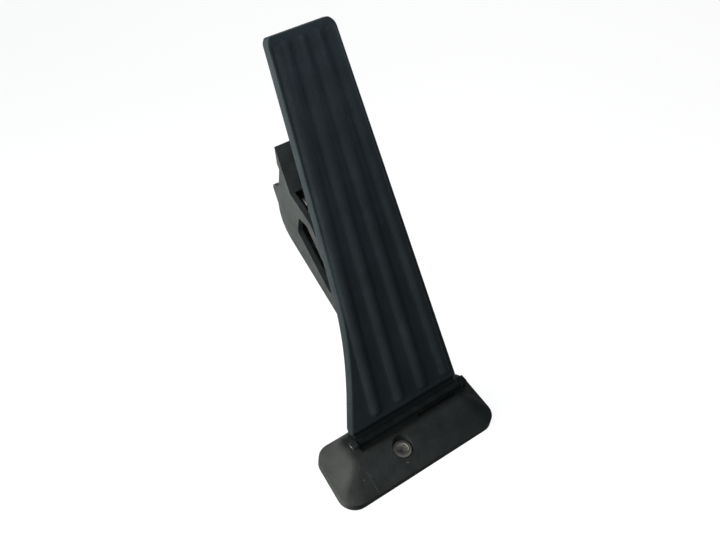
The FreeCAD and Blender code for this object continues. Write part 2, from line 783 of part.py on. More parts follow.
# Tread ribs: half round bars with rounded ends, fanned out towards the foot
for index in range(TREAD_RIBS):
    low_x = tread_low_first + index * tread_low_pitch
    high_x = tread_high_first + index * tread_high_pitch
    rise = tread_high - tread_low
    lean = slope_angle(low_x - high_x, rise)
    rib = new_sketch(plate, "XY_Plane", face_offset + tread_height - tread_radius, low_x, tread_low, lean)
    length = rise / cosine(lean)
    outline(rib, [
        (0, -tread_radius),
        (tread_radius, -tread_radius, tread_end),
        (tread_radius, length + tread_radius, tread_end),
        (0, length + tread_radius),
    ])
    bar = feature(plate, "Revolution", rib, ReferenceAxis=(rib, ["V_Axis"]), Reversed=True)
    bar.Angle = 180

# Slide pad on the back of the plate: its curve keeps the nose gap while the lever turns at a constant ratio

def nose_in_plate(share):
    """Centre of the lever's nose in the plate's frame at a share of the travel: up the plate, out of it."""
    lever = math.radians(lever_angle.value + share * lever_travel.value)
    tilt = math.radians(plate_angle.value - share * pedal_travel.value)
    y = shaft_y.value + lever_length.value * math.cos(lever) - hinge_y.value
    z = shaft_z.value + lever_length.value * math.sin(lever) - hinge_z.value
    return V(y * math.cos(tilt) + z * math.sin(tilt), z * math.cos(tilt) - y * math.sin(tilt), 0)


nose_path = Part.Circle(nose_in_plate(0), nose_in_plate(0.5), nose_in_plate(1))
stand_off = nose_radius.value + nose_gap.value


def pad_surface(along):
    """Depth of the pad's running surface at a distance up the plate."""
    centre = nose_path.Center
    hollow_side = 1 if centre.y > nose_in_plate(0).y else -1
    radius = nose_path.Radius - hollow_side * stand_off
    return V(along, centre.y - hollow_side * math.sqrt(radius ** 2 - (along - centre.x) ** 2), 0)


slide_pad = new_body("slide_pad", 0, hinge_y, hinge_z, plate_angle)
nodes.append(slide_pad)
pad_profile = new_sketch(slide_pad, "YZ_Plane", channel_middle - pad_width / 2)
low_edge = pad_surface(pad_low.value)
high_edge = pad_surface(pad_high.value)
low_top = V(pad_low.value, plate_back.value, 0)
high_top = V(pad_high.value, plate_back.value, 0)
pad_profile.addGeometry([
    Part.Arc(low_edge, pad_surface((pad_low + pad_high).value / 2), high_edge),
    Part.LineSegment(high_edge, high_top),
    Part.LineSegment(high_top, low_top),
    Part.LineSegment(low_top, low_edge),
], False)
pad(slide_pad, pad_profile, pad_width)

# Lever: hub, recessed arm and nose, one moulding turned by the plate

lever_left = channel_middle - lever_width / 2
hub_left = wall_inner + boss_height + flange_thickness + side_play
hub_right = right_inner - boss_height - flange_thickness - side_play
lever = new_body("lever_arm", 0, shaft_y, shaft_z, lever_angle)
nodes.append(lever)
neck_radius = nose_radius - cap_thickness
for along, radius in ((0, hub_radius), (lever_length, neck_radius)):
    disc = new_sketch(lever, "YZ_Plane", lever_left)
    circle(disc, along, 0, radius)
    pad(lever, disc, lever_width)
arm = new_sketch(lever, "YZ_Plane", lever_left)
outline(arm, [
    (0, -arm_height),
    (lever_length, -arm_tip),
    (lever_length, arm_tip),
    (0, arm_height),
])
pad(lever, arm, lever_width)
arm_hollow = [
    (hub_radius + arm_rim, -arm_hollow_height),
    (lever_length - nose_radius - arm_rim, arm_rim - arm_tip),
    (lever_length - nose_radius - arm_rim, arm_tip - arm_rim),
    (hub_radius + arm_rim, arm_hollow_height),
]
side_depth = (lever_width - arm_web) / 2
near_side = new_sketch(lever, "YZ_Plane", lever_left)
outline(near_side, arm_hollow)
pocket(lever, near_side, side_depth)
far_side = new_sketch(lever, "YZ_Plane", lever_left + lever_width)
outline(far_side, arm_hollow)
pocket(lever, far_side, side_depth, along=False)
spring_hub = new_sketch(lever, "YZ_Plane", hub_left)
circle(spring_hub, 0, 0, sleeve_hub)
pad(lever, spring_hub, hub_right - hub_left)
coil_radius = sleeve_hub + coil_gap + wire_radius
peg_radius = arm_rim
peg_along = hub_radius + 2 * arm_rim
peg_out = coil_radius - wire_radius - running_gap - peg_radius
peg = new_sketch(lever, "YZ_Plane", hub_left)
circle(peg, peg_along, peg_out, peg_radius)
pad(lever, peg, hub_right - hub_left)
shaft_hole = new_sketch(lever, "YZ_Plane", hub_left)
circle(shaft_hole, 0, 0, shaft_radius + press_gap)
pocket(lever, shaft_hole, hub_right - hub_left)

# Nose cap: low friction shell clipped round the lever's nose

cap = new_body("nose_cap", 0, shaft_y, shaft_z, lever_angle)
nodes.append(cap)
cap_ring = new_sketch(cap, "YZ_Plane", lever_left - cap_overhang)
circle(cap_ring, lever_length, 0, nose_radius)
circle(cap_ring, lever_length, 0, neck_radius + press_gap)
pad(cap, cap_ring, lever_width + 2 * cap_overhang)
cap_mouth = new_sketch(cap, "YZ_Plane", lever_left - cap_overhang)
outline(cap_mouth, box_corners(lever_length - 2 * nose_radius, -neck_radius - cap_thickness / 2,
                               lever_length - neck_radius / 2, neck_radius + cap_thickness / 2))
pocket(cap, cap_mouth, lever_width + 2 * cap_overhang)

# Lever shaft and its two flanged bushes

shaft_start = wall_left + bush_inset + side_play
shaft_end = magnet_start - side_play
nodes.append(turned("lever_shaft", [
    (shaft_start, 0),
    (shaft_end, 0),
    (shaft_end, shaft_radius),
    (shaft_start, shaft_radius),
], shaft_y, shaft_z))


def bush(label, flange_face, body_end):
    """A flanged bush from its flange's inner face to the end of its barrel, either way along X."""
    sign = 1 if body_end.value > flange_face.value else -1
    seat = flange_face + sign * flange_thickness
    profile = [
        (flange_face, shaft_radius + running_gap),
        (flange_face, bush_flange),
        (seat, bush_flange),
        (seat, bush_radius),
        (body_end, bush_radius),
        (body_end, shaft_radius + running_gap),
    ]
    nodes.append(turned(label, profile[::-1] if sign > 0 else profile, shaft_y, shaft_z))


bush("bush_left", wall_inner + boss_height + flange_thickness, wall_left + bush_inset)
bush("bush_right", right_inner - boss_height - flange_thickness, right_outer + chamber_floor)

# Return springs: a torsion spring on each side of the lever, from its peg to the channel's floor

def return_spring(label, start):
    """A leg under the lever, flat and climbing half turns about the shaft, and a leg to the floor."""
    radius = coil_radius.value
    wire = wire_radius.value
    climb = 2 * wire + turn_gap.value
    lean = math.radians(lever_angle.value)
    along = V(math.cos(lean), math.sin(lean), 0)
    first = V(-along.y, along.x, 0) * radius

    def bend(begin, centre, heading, sweep):
        section = Part.Face(Part.Wire(Part.makeCircle(wire, begin, heading)))
        return section.revolve(centre, (begin - centre).cross(heading), sweep)

    runs = [
        Part.makeCylinder(wire, spring_leg.value, first, along),
        bend(first, V(0, 0, 0), along * -1, 270 - lever_angle.value),
    ]
    for turn in range(SPRING_TURNS):
        low = V(0, 0, turn * climb)
        high = V(0, 0, turn * climb + climb)
        if turn:
            runs.append(bend(low - V(radius, 0, 0), low, V(0, -1, 0), 180))
        runs.append(bend(low + V(radius, 0, 0), (low + high) / 2, V(0, 1, 0), 180))
    front = shaft_y.value - radius
    floor = beam_under(front) + beam_skin
    drop = shaft_z.value - floor.value - nose_gap.value
    runs.append(Part.makeCylinder(wire, drop, high - V(radius, 0, 0), V(0, -1, 0)))
    spring = doc.addObject("Part::Feature", label)
    spring.Label = label
    spring.Shape = runs[0].multiFuse(runs[1:])
    upright = FreeCAD.Rotation(V(1, 1, 1), 120)
    spring.Placement = FreeCAD.Placement(V(start.value, shaft_y.value, shaft_z.value), upright)
    nodes.append(spring)


return_spring("return_spring_left", hub_left + side_play + wire_radius)
return_spring("return_spring_right", lever_left + lever_width + side_play + wire_radius)

# End stop bumper: rubber button on the sloping roof of the housing

bumper = new_body("end_stop_bumper", 0, crest_y, crest_z, roof_slope)
nodes.append(bumper)
button = new_sketch(bumper, "XY_Plane")
bumper_x = right_inner - bumper_radius
circle(button, bumper_x, -bumper_set_back, bumper_radius)
pad(bumper, button, bumper_height - bumper_round)
crown = new_sketch(bumper, "XY_Plane", bumper_height - bumper_round)
circle(crown, bumper_x, -bumper_set_back, bumper_radius)
crown_top = new_sketch(bumper, "XY_Plane", bumper_height)
circle(crown_top, bumper_x, -bumper_set_back, bumper_radius - bumper_round)
feature(bumper, "AdditiveLoft", crown, Sections=[crown_top], Ruled=True)

# Magnet holder and magnet on the end of the shaft

holder_start = right_outer + chamber_floor + holder_gap
holder_end = magnet_start + magnet_length / 2
nodes.append(turned("magnet_holder", [
    (holder_start, shaft_radius + press_gap),
    (magnet_start, shaft_radius + press_gap),
    (magnet_start, magnet_radius + press_gap),
    (holder_end, magnet_radius + press_gap),
    (holder_end, holder_radius),
    (holder_start, holder_radius),
], shaft_y, shaft_z))
nodes.append(turned("sensor_magnet", [
    (magnet_start, 0),
    (magnet_start + magnet_length, 0),
    (magnet_start + magnet_length, magnet_radius),
    (magnet_start, magnet_radius),
], shaft_y, shaft_z))

# Sensor board with the two Hall sensors over the magnet and a row of capacitors


def block(label, low, lengths):
    """A box from its low corner, with its three lengths."""
    box = doc.addObject("Part::Box", label)
    box.Label = label
    for name, length in zip(("Length", "Width", "Height"), lengths):
        bind(box, name, length)
    for name, place in zip("xyz", low):
        bind(box, "Placement.Base." + name, place)
    return box


def group(label, pieces):
    """Like pieces that share a node, each its own solid."""
    compound = doc.addObject("Part::Compound", label)
    compound.Label = label
    compound.Links = pieces
    nodes.append(compound)


board_low_y = chamber_inner[0] + board_margin
board_low_z = chamber_inner[1] + board_margin
board_width = chamber_inner[2] - chamber_inner[0] - 2 * board_margin
board_height = chamber_inner[3] - chamber_inner[1] - 2 * board_margin
nodes.append(block("sensor_board", (board_start, board_low_y, board_low_z),
                   (board_thickness, board_width, board_height)))
group("hall_sensors", [
    block("hall_sensor_%d" % index,
          (hall_start, shaft_y + (index - 1) * hall_side + (2 * index - 1) * side_play,
           shaft_z - hall_side / 2),
          (hall_thickness, hall_side, hall_side))
    for index in range(2)
])
group("board_capacitors", [
    block("capacitor_%d" % index,
          (board_start - capacitor_height, board_low_y + capacitor_width,
           board_low_z + capacitor_length + index * 2 * capacitor_width),
          (capacitor_height, capacitor_length, capacitor_width))
    for index in range(CAPACITORS)
])

# Cover seal: moulded rubber ring in the step of the chamber's rim

seal = new_body("cover_seal")
nodes.append(seal)
seal_ring = new_sketch(seal, "YZ_Plane", chamber_top - seal_depth)
outline(seal_ring, box_corners(seal_low_y + press_gap, seal_low_z + press_gap, seal_high_y - press_gap,
                               seal_high_z - press_gap, inner_corner))
outline(seal_ring, box_corners(*chamber_inner, inner_corner))
pad(seal, seal_ring, seal_depth)

# Sensor cover with the connector shell, screwed on the chamber

cover = new_body("sensor_cover")
nodes.append(cover)
lid = new_sketch(cover, "YZ_Plane", chamber_top)
outline(lid, chamber_corners)
pad(cover, lid, cover_thickness)
for y, z in screw_places:
    cover_ear = new_sketch(cover, "YZ_Plane", chamber_top)
    circle(cover_ear, y, z, screw_boss)
    pad(cover, cover_ear, cover_thickness)
    ear_hole = new_sketch(cover, "YZ_Plane", chamber_top)
    circle(ear_hole, y, z, screw_radius + side_play)
    pocket(cover, ear_hole, cover_thickness)
socket_y = (chamber_low_y + chamber_high_y) / 2
socket_z = (chamber_low_z + chamber_high_z) / 2
socket_low_y = socket_y - socket_width / 2
socket_low_z = socket_z - socket_height / 2
socket_high_y = socket_y + socket_width / 2
socket_high_z = socket_z + socket_height / 2
socket_floor = chamber_top + cover_thickness
shell = new_sketch(cover, "YZ_Plane", chamber_top)
outline(shell, box_corners(socket_low_y - socket_wall, socket_low_z - socket_wall,
                           socket_high_y + socket_wall, socket_high_z + socket_wall,
                           socket_corner + socket_wall))
pad(cover, shell, cover_thickness + socket_depth)
mouth = new_sketch(cover, "YZ_Plane", socket_floor)
outline(mouth, box_corners(socket_low_y, socket_low_z, socket_high_y, socket_high_z, socket_corner))
pocket(cover, mouth, socket_depth)
latch = new_sketch(cover, "YZ_Plane", socket_floor + socket_depth / 2)
outline(latch, box_corners(socket_y - socket_height / 3, socket_high_z, socket_y + socket_height / 3,
                           socket_high_z + 2 * socket_wall))
pad(cover, latch, socket_depth / 4)
post_start = board_start + board_thickness
for y in (board_low_y + board_margin, board_low_y + board_width - board_margin):
    for z in (board_low_z + board_margin, board_low_z + board_height - board_margin):
        post = new_sketch(cover, "YZ_Plane", post_start)
        circle(post, y, z, board_margin)
        pad(cover, post, chamber_top - post_start + cover_thickness / 2)

# Terminal pins: a row of square wires from the board through the cover into the connector

slots = new_sketch(cover, "YZ_Plane", chamber_top)
pins = []
for index in range(TERMINALS):
    pin_y = socket_y + (index - (TERMINALS - 1) / 2) * pin_pitch
    outline(slots, box_corners(pin_y - pin_side / 2 - press_gap, socket_z - pin_side / 2 - press_gap,
                               pin_y + pin_side / 2 + press_gap, socket_z + pin_side / 2 + press_gap))
    pins.append(block("terminal_%d" % index, (post_start, pin_y - pin_side / 2, socket_z - pin_side / 2),
                      (socket_floor + pin_reach - post_start, pin_side, pin_side)))
pocket(cover, slots, cover_thickness)
group("terminal_pins", pins)

# Cover screws: thread forming, pan head

screws = []
for index, (y, z) in enumerate(screw_places):
    screws.append(turned("cover_screw_%d" % index, [
        (socket_floor - cover_thickness - screw_length + screw_radius, 0),
        (socket_floor + screw_head_height, 0),
        (socket_floor + screw_head_height, screw_head, screw_head_height / 2),
        (socket_floor, screw_head),
        (socket_floor, screw_radius),
        (socket_floor - cover_thickness - screw_length + screw_radius, screw_radius),
    ], y, z))
group("cover_screws", screws)

# Check every feature and every node, then write one file for each node

doc.recompute()
for item in doc.Objects:
    if "Invalid" in item.State or "Error" in item.State:
        raise SystemExit("failed: %s %s" % (item.Label, item.State))
    if item.TypeId == "PartDesign::Pocket" and item.Shape.Volume >= item.BaseFeature.Shape.Volume:
        raise SystemExit("cuts nothing: %s" % item.Label)
for node in nodes:
    if node.Shape.isNull() or not node.Shape.isValid():
        raise SystemExit("not a valid shape: %s" % node.Label)
    print(node.Label, len(node.Shape.Solids), round(node.Shape.Volume, 1))
os.makedirs("parts", exist_ok=True)
for node in nodes:
    node.Shape.exportStep("parts/%s.step" % node.Label)
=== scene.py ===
import bpy
import math
import numpy as np
from mathutils import Matrix, Vector


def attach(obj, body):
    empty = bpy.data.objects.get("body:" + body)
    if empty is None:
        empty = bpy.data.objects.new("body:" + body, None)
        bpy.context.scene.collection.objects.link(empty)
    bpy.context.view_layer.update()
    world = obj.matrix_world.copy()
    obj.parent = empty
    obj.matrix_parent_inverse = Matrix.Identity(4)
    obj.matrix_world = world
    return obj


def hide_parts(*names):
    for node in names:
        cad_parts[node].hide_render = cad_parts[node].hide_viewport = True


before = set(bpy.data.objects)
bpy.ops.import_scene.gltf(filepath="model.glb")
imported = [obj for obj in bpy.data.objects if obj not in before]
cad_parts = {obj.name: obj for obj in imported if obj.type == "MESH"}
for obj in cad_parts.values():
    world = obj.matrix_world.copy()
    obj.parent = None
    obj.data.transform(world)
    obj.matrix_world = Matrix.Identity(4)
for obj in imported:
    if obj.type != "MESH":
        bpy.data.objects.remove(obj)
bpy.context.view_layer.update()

# Base carrier: the foot, its hinge ears, the beam and the sensor housing in one piece.
# Glass filled nylon, injection moulded in a spark eroded tool and screwed down through the foot.
# The foot has painted shade towards its right, along the hinge and at its front rim, dust and painted light
# up to its left hip, and is a little scratched.

MM = 0.001
MOULDED_SHEEN = 0.02
NYLON_BEVEL = 0.6
WELD_GAP = 0.001
BEVEL_STEPS = 3
BEVEL_ANGLE = 28
# A Mix node's colour sockets go by number.
MIX_FIRST = 6
MIX_SECOND = 7
MIX_RESULT = 2
# Noise keeps to the middle of its range, which is stretched to the whole.
NOISE_LOW = 0.3
NOISE_HIGH = 0.7
CLOUD_DETAIL = 4
GLOSS_DETAIL = 3
GLOSS_FINER = 3
# Places are in millimetres from the sleeve's axis at the floor; an edge is (axis, start, full).
# Painted shade: the foot grows darker towards its right, where the plate shades it.
RIGHT_SHADE = 0.6
RIGHT_SHADE_COLOUR = "#1a1e1e"
RIGHT_SHADE_EDGES = [("X", -12.0, 48.0)]
# Painted shade in the hinge trough, where the plate shades the foot and the plate's own foot edge.
HINGE_SHADE = 0.75
PAINTED_SHADE_COLOUR = "#0c0e0e"
HINGE_SHADE_EDGES = [("X", -33.0, -14.0), ("Y", 4.6, 7.4), ("Y", 20.0, 17.5), ("Z", 18.6, 16.6)]
# Dust and painted light on the foot's left facet, thickening up to the hip crease so that the crease shows
# as a lit edge.
DUST_AND_LIGHT_COLOUR = "#5c5f59"
DUST_AND_LIGHT_LEAST = 0.03
DUST_AND_LIGHT_MOST = 0.24
DUST_AND_LIGHT_START = -14.0
DUST_AND_LIGHT_ROOF = (13.8, 12.0)
HIP_POINT = (-26.9, 6.2, 0.0)
HIP_ACROSS = (0.662, -0.750, 0.0)
HIP_LEFT = -0.5
HIP_RIGHT = 2.0
# Painted shade on the foot's front rim, which faces down and away from the lamps.
RIM_SHADE = 0.95
RIM_SHADE_EDGES = [("Z", 4.9, 4.3), ("Y", -8.0, -12.0)]
SCRATCH_COLOUR = "#8a8c88"
SCRATCH_WIDTH = 0.35
SCRATCH_BREAKS = 1.5
SCRATCH_DETAIL = 2
SCRATCH_LEAST = 0.3
SCRATCHES = [
    ((-23.8, -1.3, 10.5), (-23.7, -11.8, 5.2), 0.22),
    ((-27.3, -3.6, 9.3), (-27.1, -3.8, 9.2), 0.9),
    ((-33.1, -4.1, 9.1), (-32.9, -4.2, 9.0), 0.6),
    ((-2.6, -7.0, 7.6), (-1.7, -7.4, 7.4), 0.9),
    ((-41.6, -4.0, 5.4), (-41.4, -6.2, 5.4), 1.0),
]


def to_linear(code):
    """sRGB hex as linear colour: a straight line near black, and a power of 2.4 above it."""
    values = [int(code[i:i + 2], 16) / 255 for i in (1, 3, 5)]
    return [v / 12.92 if v <= 0.04045 else ((v + 0.055) / 1.055) ** 2.4 for v in values] + [1.0]


def per_mm(length):
    """Texture scale for lumps of a length in millimetres: one over that length in metres."""
    return 1 / (length * MM)


def add_node(tree, kind, sockets=(), **settings):
    """Adds one shader node; sockets maps an input to a value or to the output that feeds it."""
    node = tree.nodes.new("ShaderNode" + kind)
    for name, value in settings.items():
        setattr(node, name, value)
    for name, value in dict(sockets).items():
        if isinstance(value, bpy.types.NodeSocket):
            tree.links.new(value, node.inputs[name])
        else:
            node.inputs[name].default_value = value
    return node.outputs


def new_material(name):
    """A new material, its tree, its shader and its object coordinates in metres."""
    material = bpy.data.materials.new(name)
    material.use_nodes = True
    tree = material.node_tree
    return material, tree, tree.nodes["Principled BSDF"], add_node(tree, "TexCoord")["Object"]


def mottle(tree, place, lump, detail, low, high):
    """A value that wanders between two ends: noise with lumps in millimetres, its middle stretched."""
    noise = add_node(tree, "TexNoise", {"Vector": place, "Scale": per_mm(lump), "Detail": detail})["Fac"]
    ends = {"From Min": NOISE_LOW, "From Max": NOISE_HIGH, "To Min": low, "To Max": high}
    return add_node(tree, "MapRange", {"Value": noise, **ends})["Result"]


def patch(tree, edges, share):
    """Share of a patch with soft edges: share times one ramp for each (value, start, full).

    Starts and fulls are in millimetres."""
    for value, start, full in edges:
        ends = {"From Min": start * MM, "From Max": full * MM}
        ramp = add_node(tree, "MapRange", {"Value": value, **ends})["Result"]
        share = add_node(tree, "Math", {0: ramp, 1: share}, operation="MULTIPLY")[0]
    return share


def mixed_over(tree, colour, overlays):
    """A colour with each (share, overlay) mixed over it in turn; overlays are tones, dust, scratches,
    painted shade and painted light.
    """
    for share, overlay in overlays:
        sockets = {0: share, MIX_FIRST: colour, MIX_SECOND: overlay}
        colour = add_node(tree, "Mix", sockets, data_type="RGBA")[MIX_RESULT]
    return colour


def finish(name, colours, gloss, grain, cloud=14, metal=0.0, sheen=0.5, marks=None):
    """Colour and roughness wander between two ends in clouds, and noise of a (length, depth) is the grain.

    Lengths are in millimetres. marks draws wear, dust, painted shade and painted light over the colour."""
    material, tree, shader, place = new_material(name)
    dark, light = (to_linear(code) for code in colours)
    colour = mixed_over(tree, dark, [(mottle(tree, place, cloud, CLOUD_DETAIL, 0, 1), light)])
    if marks:
        colour = marks(tree, place, colour)
    length, depth = grain
    lumps = add_node(tree, "TexNoise", {"Vector": place, "Scale": per_mm(length)})["Fac"]
    relief = add_node(tree, "Bump", {"Height": lumps, "Distance": depth * MM})["Normal"]
    roughness = mottle(tree, place, cloud / GLOSS_FINER, GLOSS_DETAIL, *gloss)
    tree.links.new(colour, shader.inputs["Base Color"])
    tree.links.new(roughness, shader.inputs["Roughness"])
    tree.links.new(relief, shader.inputs["Normal"])
    shader.inputs["Metallic"].default_value = metal
    shader.inputs["Specular IOR Level"].default_value = sheen
    return material


def dress(name, material, bevel=0.0):
    """Gives a CAD node its material and, if asked, edges rounded by a bevel in millimetres."""
    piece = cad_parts[name]
    piece.data.materials.clear()
    piece.data.materials.append(material)
    if bevel:
        weld = piece.modifiers.new("weld", "WELD")
        weld.merge_threshold = WELD_GAP * MM
        rounding = piece.modifiers.new("rounding", "BEVEL")
        rounding.width = bevel * MM
        rounding.segments = BEVEL_STEPS
        rounding.limit_method = "ANGLE"
        rounding.angle_limit = math.radians(BEVEL_ANGLE)
        rounding.harden_normals = True


def scratch(tree, place, start, end, strength):
    """Share of a broken scratch between two points: strength on its line, falling to none at its width.

    The line's nearest point is its start plus its run times the clamped dot product of offset and run."""
    begin = Vector(start) * MM
    run = Vector(end) * MM - begin
    offset = add_node(tree, "VectorMath", {0: place, 1: begin}, operation="SUBTRACT")["Vector"]
    sockets = {0: offset, 1: run / run.length_squared}
    along = add_node(tree, "VectorMath", sockets, operation="DOT_PRODUCT")["Value"]
    share = add_node(tree, "Clamp", {"Value": along})["Result"]
    nearest = add_node(tree, "VectorMath", {0: run, "Scale": share}, operation="SCALE")["Vector"]
    gap = add_node(tree, "VectorMath", {0: offset, 1: nearest}, operation="DISTANCE")["Value"]
    breaks = mottle(tree, place, SCRATCH_BREAKS, SCRATCH_DETAIL, SCRATCH_LEAST * strength, strength)
    return patch(tree, [(gap, SCRATCH_WIDTH, 0)], breaks)


def hinge_shade(tree, place, colour):
    """Painted shade: darkens a colour in the trough along the hinge, where the plate shades it; a patch
    with edges on all three axes.
    """
    axes = add_node(tree, "SeparateXYZ", {"Vector": place})
    share = patch(tree, [(axes[axis], start, full) for axis, start, full in HINGE_SHADE_EDGES], HINGE_SHADE)
    return mixed_over(tree, colour, [(share, to_linear(PAINTED_SHADE_COLOUR))])


def foot_marks(tree, place, colour):
    """Painted shade towards the right, along the hinge and on the front rim; dust and painted light up to
    the left hip; scratches.

    The distance from the hip is the dot product of the offset from its crease and the way across it."""
    axes = add_node(tree, "SeparateXYZ", {"Vector": place})
    # Shares of the painted shade towards the right and of the painted shade on the front rim.
    right_shade, rim = (
        patch(tree, [(axes[axis], start, full) for axis, start, full in edges], share)
        for edges, share in ((RIGHT_SHADE_EDGES, RIGHT_SHADE), (RIM_SHADE_EDGES, RIM_SHADE))
    )
    # Dust and painted light thicken towards the hip crease and stop just past it.
    sockets = {0: place, 1: Vector(HIP_POINT) * MM}
    offset = add_node(tree, "VectorMath", sockets, operation="SUBTRACT")["Vector"]
    aside = add_node(tree, "VectorMath", {0: offset, 1: HIP_ACROSS}, operation="DOT_PRODUCT")["Value"]
    reach = {"From Min": DUST_AND_LIGHT_START * MM, "From Max": HIP_LEFT * MM}
    amount = {"To Min": DUST_AND_LIGHT_LEAST, "To Max": DUST_AND_LIGHT_MOST}
    dust_and_light = add_node(tree, "MapRange", {"Value": aside, **reach, **amount})["Result"]
    dust_and_light = patch(tree, [(aside, HIP_RIGHT, HIP_LEFT), (axes["Z"], *DUST_AND_LIGHT_ROOF)], dust_and_light)
    colour = mixed_over(tree, colour, [(right_shade, to_linear(RIGHT_SHADE_COLOUR))])
    # Painted shade along the hinge.
    colour = hinge_shade(tree, place, colour)
    # The front rim's painted shade is mixed over the dust and painted light.
    overlays = [(dust_and_light, to_linear(DUST_AND_LIGHT_COLOUR)), (rim, to_linear(PAINTED_SHADE_COLOUR))]
    overlays += [(scratch(tree, place, *line), to_linear(SCRATCH_COLOUR)) for line in SCRATCHES]
    return mixed_over(tree, colour, overlays)


# Moulded nylon looks dull and dark grey, with cloudy wear and a fine leathery grain.
# Its real grain is about 0.1 mm. That and the other grains here are too fine to show in the render,
# so each is drawn as coarse as it needs to show, at 0.5 to 1.1 mm.
nylon = finish("glass_filled_nylon_moulded", ("#2a2c2b", "#373938"), gloss=(0.56, 0.70), grain=(1.1, 0.28),
               cloud=9, sheen=MOULDED_SHEEN, marks=foot_marks)
dress("base_carrier", nylon, NYLON_BEVEL)

# Compression sleeve: the tube in the foot that takes the clamp load of the mounting screw.
# Bare steel, cut from tube with chamfered ends, and pressed into the moulding.

SLEEVE_BORE = 3.2
SLEEVE_BEVEL = 0.15
# Painted shade: a dark ring at the bore's chamfer.
CHAMFER_SHADE_EDGE = (0.8, 0.5)
# Painted light: bright streaky steel inside the bore.
BORE_LIGHT_EDGE = (0.2, 0.0)
CHAMFER_SHADE_COLOUR = "#2a2926"
BORE_LIGHT_COLOURS = ("#7a766e", "#dcd7ca")
BORE_LIGHT_LUMP = 1.6
BORE_LIGHT_DETAIL = 3


def bore_shade_and_light(tree, place, colour):
    """Painted shade in a ring at the bore's chamfer and painted light in streaks inside the bore, by the
    distance from the upright axis.
    """
    flat = add_node(tree, "VectorMath", {0: place, 1: (1, 1, 0)}, operation="MULTIPLY")["Vector"]
    radius = add_node(tree, "VectorMath", {0: flat}, operation="LENGTH")["Value"]
    chamfer_shade, inside = (
        patch(tree, [(radius, SLEEVE_BORE + start, SLEEVE_BORE + full)], 1)
        for start, full in (CHAMFER_SHADE_EDGE, BORE_LIGHT_EDGE)
    )
    dull, bright = (to_linear(code) for code in BORE_LIGHT_COLOURS)
    painted_bore_light = mixed_over(tree, dull, [(mottle(tree, place, BORE_LIGHT_LUMP, BORE_LIGHT_DETAIL, 0, 1), bright)])
    return mixed_over(tree, colour, [(chamfer_shade, to_linear(CHAMFER_SHADE_COLOUR)), (inside, painted_bore_light)])


# Handled steel looks brownish grey and blurred; painted shade darkens the bore's chamfer and painted light
# brightens the inside of the bore in streaks.
dull_steel = finish("bare_steel_cut", ("#4a4944", "#66635c"), gloss=(0.42, 0.58), grain=(0.8, 0.03),
                    cloud=3, metal=0.5, marks=bore_shade_and_light)
dress("compression_sleeve", dull_steel, SLEEVE_BEVEL)

# Hinge pin: the rod that the plate turns on, seen only at its two ends.
# Drawn steel, cropped to length and pressed into both ears of the foot.

# Drawn steel looks grey and fairly bright, with soft reflections.
drawn_steel = finish("drawn_steel", ("#83837f", "#a3a29d"), gloss=(0.25, 0.4), grain=(0.8, 0.012), cloud=4,
                     metal=1.0)
dress("hinge_pin", drawn_steel)

# Pedal plate: the face that the shoe presses, with four tread ribs and a skirt round its edge.
# Black polypropylene in one moulding with its barrel and stiffeners, hinged at the foot.
# Sizes are in millimetres in the plate's own frame: across, up the plate and out of its face.

HINGE_Y = 12.9
HINGE_Z = 13.3
TILT = math.radians(54.8)
FOOT = 5.6
TOP = 202.2
FLARE = 50.0
FLARE_ROUND = 200.0
LEFT_FOOT = -20.6
LEFT_FLARE = -6.0
LEFT_TOP = -0.2
LEFT_CORNER = 3.5
RIGHT_FOOT = 47.8
RIGHT_TOP = 37.0
RIGHT_CORNER = 5.5
THICKNESS = 3.0
SKIRT = 5.5
SKIRT_FOOT = 7.5
SKIRT_WALL = 2.4
SKIRT_LIP = 0.4
SKIRT_BREAK = 0.1
SKIRT_INNER = 0.3
EDGE = 0.9
EDGE_STEPS = 6
FOOT_REACH = 1.2
FOOT_DROP = 0.4
# The face's foot edge runs down past the barrel by these (up, out) points.
FOOT_LIP = [(3.7, -1.9), (3.4, -2.0), (1.5, -1.2), (0.5, -1.9)]
RIBS = 4
RIB_HALF = 3.45
RIB_HEIGHT = 2.0
RIB_END = 3.4
RIB_FILLET = 0.7
RIB_LOW = 12.0
RIB_HIGH = 196.0
RIB_LOW_FIRST = -3.9
RIB_LOW_PITCH = 15.1
RIB_HIGH_FIRST = 5.1
RIB_HIGH_PITCH = 9.15
FOOT_ROWS = 36
BODY_ROWS = 90
TOP_ROWS = 48
END_ZONE = 1.0
RIB_COLUMNS = 15
FLAT_COLUMNS = 7
COLUMN_LEAST = 0.005
MITRE_LEAST = 0.6
CREASE = 30


def in_world(points):
    """Plate points as world points in metres: up and out are turned by the tilt about the hinge."""
    across, up, out = np.moveaxis(np.asarray(points, float), -1, 0)
    y = HINGE_Y + up * math.cos(TILT) - out * math.sin(TILT)
    z = HINGE_Z + up * math.sin(TILT) + out * math.cos(TILT)
    return np.stack([across, y, z], axis=-1) * MM


def grid_faces(rows, columns, wrap=False):
    """Quads of a grid stored row by row: each point with its neighbours after and above.

    wrap joins the last column to the first."""
    row, column = np.meshgrid(np.arange(rows - 1), np.arange(columns - (not wrap)), indexing="ij")
    after = (column + 1) % columns
    start = row * columns
    corners = [start + column, start + after, start + columns + after, start + columns + column]
    return np.stack(corners, axis=-1).reshape(-1, 4).tolist()


